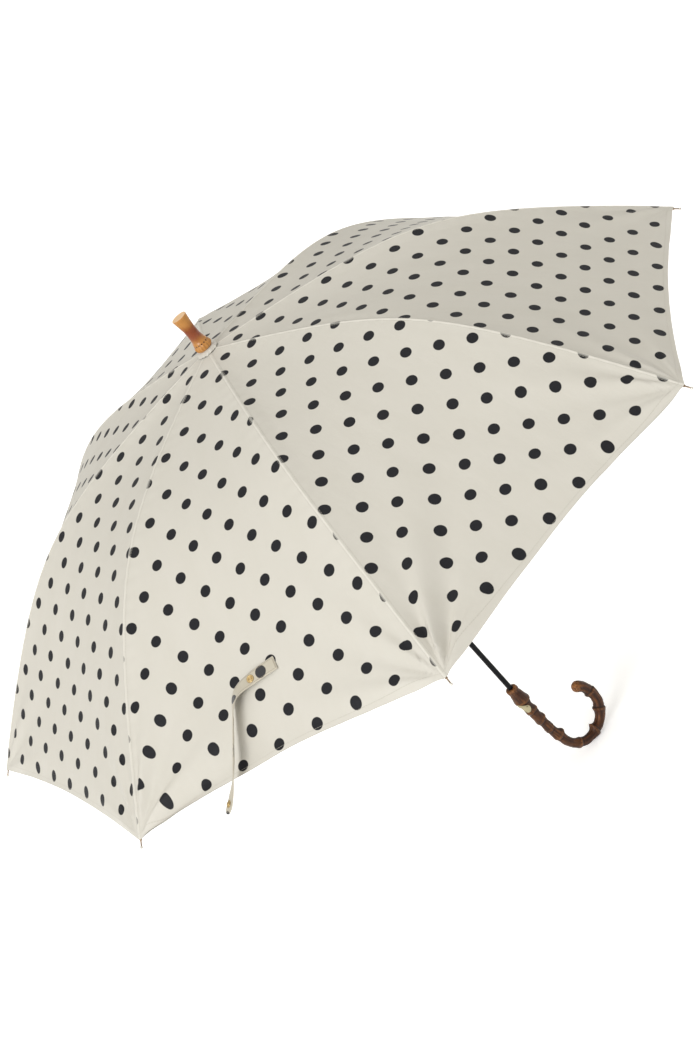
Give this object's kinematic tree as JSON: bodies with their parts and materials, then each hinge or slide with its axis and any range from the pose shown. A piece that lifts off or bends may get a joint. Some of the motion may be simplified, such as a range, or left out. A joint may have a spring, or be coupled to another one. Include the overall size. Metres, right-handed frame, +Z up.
{
  "type": "stick umbrella",
  "caption": "Open stick umbrella with a dotted fabric canopy on steel ribs and stretchers, a sliding runner, a bamboo crook handle, a bamboo ferrule and a tie strap.",
  "frame": {"origin": "on the shaft's axis, at the top rim of the handle", "axes": "+Z up the shaft to the ferrule, +X towards the open side of the crook"},
  "size_m": [0.9922, 0.9922, 0.812],
  "materials": {
    "black_enamel": "gloss black enamel",
    "black_plastic": "moulded, satin",
    "plated_wire": "drawn wire",
    "bamboo": "varnished",
    "cream_fabric": "woven polyester, slight sheen",
    "bamboo_root": "stained and varnished",
    "pale_brass": "brushed",
    "spring_steel": "satin",
    "gold_metal": "polished",
    "rib_steel": "satin black enamel",
    "plated_steel": "nickel plated",
    "tip_metal": "polished"
  },
  "bodies": {
    "stick": {"shaft": "black_enamel", "crown": "black_plastic", "crown_ring": "plated_wire", "ferrule": "bamboo", "canopy_rosette": "cream_fabric", "handle": "bamboo_root", "handle_plate": "pale_brass"},
    "runner": {"runner": "black_plastic"},
    "top_catch": {"top_catch": "spring_steel"},
    "bottom_catch": {"bottom_catch": "spring_steel"},
    "strap": {"strap": "cream_fabric", "strap_snap": "gold_metal"},
    "rib_1": {"rib_1": "rib_steel", "rib_bracket_1": "plated_steel"},
    "rib_outer_1": {"rib_outer_1": "rib_steel", "rib_tip_1": "tip_metal", "canopy_gore_1": "cream_fabric"},
    "stretcher_1": {"stretcher_1": "rib_steel"},
    "rib_2": {"rib_2": "rib_steel", "rib_bracket_2": "plated_steel"},
    "rib_outer_2": {"rib_outer_2": "rib_steel", "rib_tip_2": "tip_metal", "canopy_gore_2": "cream_fabric"},
    "stretcher_2": {"stretcher_2": "rib_steel"},
    "rib_3": {"rib_3": "rib_steel", "rib_bracket_3": "plated_steel"},
    "rib_outer_3": {"rib_outer_3": "rib_steel", "rib_tip_3": "tip_metal", "canopy_gore_3": "cream_fabric"},
    "stretcher_3": {"stretcher_3": "rib_steel"},
    "rib_4": {"rib_4": "rib_steel", "rib_bracket_4": "plated_steel"},
    "rib_outer_4": {"rib_outer_4": "rib_steel", "rib_tip_4": "tip_metal", "canopy_gore_4": "cream_fabric"},
    "stretcher_4": {"stretcher_4": "rib_steel"},
    "rib_5": {"rib_5": "rib_steel", "rib_bracket_5": "plated_steel"},
    "rib_outer_5": {"rib_outer_5": "rib_steel", "rib_tip_5": "tip_metal", "canopy_gore_5": "cream_fabric"},
    "stretcher_5": {"stretcher_5": "rib_steel"},
    "rib_6": {"rib_6": "rib_steel", "rib_bracket_6": "plated_steel"},
    "rib_outer_6": {"rib_outer_6": "rib_steel", "rib_tip_6": "tip_metal", "canopy_gore_6": "cream_fabric"},
    "stretcher_6": {"stretcher_6": "rib_steel"},
    "rib_7": {"rib_7": "rib_steel", "rib_bracket_7": "plated_steel"},
    "rib_outer_7": {"rib_outer_7": "rib_steel", "rib_tip_7": "tip_metal", "canopy_gore_7": "cream_fabric"},
    "stretcher_7": {"stretcher_7": "rib_steel"},
    "rib_8": {"rib_8": "rib_steel", "rib_bracket_8": "plated_steel"},
    "rib_outer_8": {"rib_outer_8": "rib_steel", "rib_tip_8": "tip_metal", "canopy_gore_8": "cream_fabric"},
    "stretcher_8": {"stretcher_8": "rib_steel"}
  },
  "joints": [
    {"name": "runner_slide", "type": "slide", "parent": "stick", "child": "runner", "axis": [0, 0, 1], "range_m": [-0.4248, 0]},
    {"name": "rib_1_hinge", "type": "hinge", "parent": "stick", "child": "rib_1", "pos_m": [0.00924, -0.00383, 0.597], "axis": [0.3827, 0.9239, 0], "range_deg": [0, 75.82]},
    {"name": "stretcher_1_hinge", "type": "hinge", "parent": "rib_1", "child": "stretcher_1", "pos_m": [0.24284, -0.10059, 0.55366], "axis": [0.3827, 0.9239, 0], "range_deg": [-151.65, 0]},
    {"name": "rib_1_flex", "type": "hinge", "parent": "rib_1", "child": "rib_outer_1", "pos_m": [0.25177, -0.10429, 0.55528], "axis": [0.3827, 0.9239, 0], "range_deg": [-19.25, 0], "deforming": ["canopy_gore_1"]},
    {"name": "rib_2_hinge", "type": "hinge", "parent": "stick", "child": "rib_2", "pos_m": [0.00383, -0.00924, 0.597], "axis": [0.9239, 0.3827, 0], "range_deg": [0, 75.82]},
    {"name": "stretcher_2_hinge", "type": "hinge", "parent": "rib_2", "child": "stretcher_2", "pos_m": [0.10059, -0.24284, 0.55366], "axis": [0.9239, 0.3827, 0], "range_deg": [-151.65, 0]},
    {"name": "rib_2_flex", "type": "hinge", "parent": "rib_2", "child": "rib_outer_2", "pos_m": [0.10429, -0.25177, 0.55528], "axis": [0.9239, 0.3827, 0], "range_deg": [-19.25, 0], "deforming": ["canopy_gore_2"]},
    {"name": "rib_3_hinge", "type": "hinge", "parent": "stick", "child": "rib_3", "pos_m": [-0.00383, -0.00924, 0.597], "axis": [0.9239, -0.3827, 0], "range_deg": [0, 75.82]},
    {"name": "stretcher_3_hinge", "type": "hinge", "parent": "rib_3", "child": "stretcher_3", "pos_m": [-0.10059, -0.24284, 0.55366], "axis": [0.9239, -0.3827, 0], "range_deg": [-151.65, 0]},
    {"name": "rib_3_flex", "type": "hinge", "parent": "rib_3", "child": "rib_outer_3", "pos_m": [-0.10429, -0.25177, 0.55528], "axis": [0.9239, -0.3827, 0], "range_deg": [-19.25, 0], "deforming": ["canopy_gore_3"]},
    {"name": "rib_4_hinge", "type": "hinge", "parent": "stick", "child": "rib_4", "pos_m": [-0.00924, -0.00383, 0.597], "axis": [0.3827, -0.9239, 0], "range_deg": [0, 75.82]},
    {"name": "stretcher_4_hinge", "type": "hinge", "parent": "rib_4", "child": "stretcher_4", "pos_m": [-0.24284, -0.10059, 0.55366], "axis": [0.3827, -0.9239, 0], "range_deg": [-151.65, 0]},
    {"name": "rib_4_flex", "type": "hinge", "parent": "rib_4", "child": "rib_outer_4", "pos_m": [-0.25177, -0.10429, 0.55528], "axis": [0.3827, -0.9239, 0], "range_deg": [-19.25, 0], "deforming": ["canopy_gore_4"]},
    {"name": "rib_5_hinge", "type": "hinge", "parent": "stick", "child": "rib_5", "pos_m": [-0.00924, 0.00383, 0.597], "axis": [-0.3827, -0.9239, 0], "range_deg": [0, 75.82]},
    {"name": "stretcher_5_hinge", "type": "hinge", "parent": "rib_5", "child": "stretcher_5", "pos_m": [-0.24284, 0.10059, 0.55366], "axis": [-0.3827, -0.9239, 0], "range_deg": [-151.65, 0]},
    {"name": "rib_5_flex", "type": "hinge", "parent": "rib_5", "child": "rib_outer_5", "pos_m": [-0.25177, 0.10429, 0.55528], "axis": [-0.3827, -0.9239, 0], "range_deg": [-19.25, 0], "deforming": ["canopy_gore_5"]},
    {"name": "rib_6_hinge", "type": "hinge", "parent": "stick", "child": "rib_6", "pos_m": [-0.00383, 0.00924, 0.597], "axis": [-0.9239, -0.3827, 0], "range_deg": [0, 75.82]},
    {"name": "stretcher_6_hinge", "type": "hinge", "parent": "rib_6", "child": "stretcher_6", "pos_m": [-0.10059, 0.24284, 0.55366], "axis": [-0.9239, -0.3827, 0], "range_deg": [-151.65, 0]},
    {"name": "rib_6_flex", "type": "hinge", "parent": "rib_6", "child": "rib_outer_6", "pos_m": [-0.10429, 0.25177, 0.55528], "axis": [-0.9239, -0.3827, 0], "range_deg": [-19.25, 0], "deforming": ["canopy_gore_6"]},
    {"name": "rib_7_hinge", "type": "hinge", "parent": "stick", "child": "rib_7", "pos_m": [0.00383, 0.00924, 0.597], "axis": [-0.9239, 0.3827, 0], "range_deg": [0, 75.82]},
    {"name": "stretcher_7_hinge", "type": "hinge", "parent": "rib_7", "child": "stretcher_7", "pos_m": [0.10059, 0.24284, 0.55366], "axis": [-0.9239, 0.3827, 0], "range_deg": [-151.65, 0]},
    {"name": "rib_7_flex", "type": "hinge", "parent": "rib_7", "child": "rib_outer_7", "pos_m": [0.10429, 0.25177, 0.55528], "axis": [-0.9239, 0.3827, 0], "range_deg": [-19.25, 0], "deforming": ["canopy_gore_7"]},
    {"name": "rib_8_hinge", "type": "hinge", "parent": "stick", "child": "rib_8", "pos_m": [0.00924, 0.00383, 0.597], "axis": [-0.3827, 0.9239, 0], "range_deg": [0, 75.82]},
    {"name": "stretcher_8_hinge", "type": "hinge", "parent": "rib_8", "child": "stretcher_8", "pos_m": [0.24284, 0.10059, 0.55366], "axis": [-0.3827, 0.9239, 0], "range_deg": [-151.65, 0]},
    {"name": "rib_8_flex", "type": "hinge", "parent": "rib_8", "child": "rib_outer_8", "pos_m": [0.25177, 0.10429, 0.55528], "axis": [-0.3827, 0.9239, 0], "range_deg": [-19.25, 0], "deforming": ["canopy_gore_8"]},
    {"name": "top_catch_press", "type": "slide", "parent": "stick", "child": "top_catch", "axis": [0, 1, 0], "range_m": [-0.0024, 0], "stiffness_N_per_m": 200, "springref_m": 0.001},
    {"name": "bottom_catch_press", "type": "slide", "parent": "stick", "child": "bottom_catch", "axis": [0, 1, 0], "range_m": [-0.0024, 0], "stiffness_N_per_m": 200, "springref_m": 0.001},
    {"name": "strap_swing", "type": "hinge", "parent": "rib_outer_3", "child": "strap", "pos_m": [-0.2771, -0.3155, 0.4355], "axis": [0.1794, 0.817, 0.548], "range_deg": [0, 80]}
  ],
  "couplings": [
    {"joint": "rib_1_hinge", "follows": "runner_slide", "rad_per_m": -3.1132},
    {"joint": "stretcher_1_hinge", "follows": "runner_slide", "rad_per_m": 6.2264},
    {"joint": "rib_1_flex", "follows": "runner_slide", "rad_per_m": 0.78885},
    {"joint": "rib_2_hinge", "follows": "runner_slide", "rad_per_m": -3.1132},
    {"joint": "stretcher_2_hinge", "follows": "runner_slide", "rad_per_m": 6.2264},
    {"joint": "rib_2_flex", "follows": "runner_slide", "rad_per_m": 0.78885},
    {"joint": "rib_3_hinge", "follows": "runner_slide", "rad_per_m": -3.1132},
    {"joint": "stretcher_3_hinge", "follows": "runner_slide", "rad_per_m": 6.2264},
    {"joint": "rib_3_flex", "follows": "runner_slide", "rad_per_m": 0.78885},
    {"joint": "rib_4_hinge", "follows": "runner_slide", "rad_per_m": -3.1132},
    {"joint": "stretcher_4_hinge", "follows": "runner_slide", "rad_per_m": 6.2264},
    {"joint": "rib_4_flex", "follows": "runner_slide", "rad_per_m": 0.78885},
    {"joint": "rib_5_hinge", "follows": "runner_slide", "rad_per_m": -3.1132},
    {"joint": "stretcher_5_hinge", "follows": "runner_slide", "rad_per_m": 6.2264},
    {"joint": "rib_5_flex", "follows": "runner_slide", "rad_per_m": 0.78885},
    {"joint": "rib_6_hinge", "follows": "runner_slide", "rad_per_m": -3.1132},
    {"joint": "stretcher_6_hinge", "follows": "runner_slide", "rad_per_m": 6.2264},
    {"joint": "rib_6_flex", "follows": "runner_slide", "rad_per_m": 0.78885},
    {"joint": "rib_7_hinge", "follows": "runner_slide", "rad_per_m": -3.1132},
    {"joint": "stretcher_7_hinge", "follows": "runner_slide", "rad_per_m": 6.2264},
    {"joint": "rib_7_flex", "follows": "runner_slide", "rad_per_m": 0.78885},
    {"joint": "rib_8_hinge", "follows": "runner_slide", "rad_per_m": -3.1132},
    {"joint": "stretcher_8_hinge", "follows": "runner_slide", "rad_per_m": 6.2264},
    {"joint": "rib_8_flex", "follows": "runner_slide", "rad_per_m": 0.78885}
  ]
}
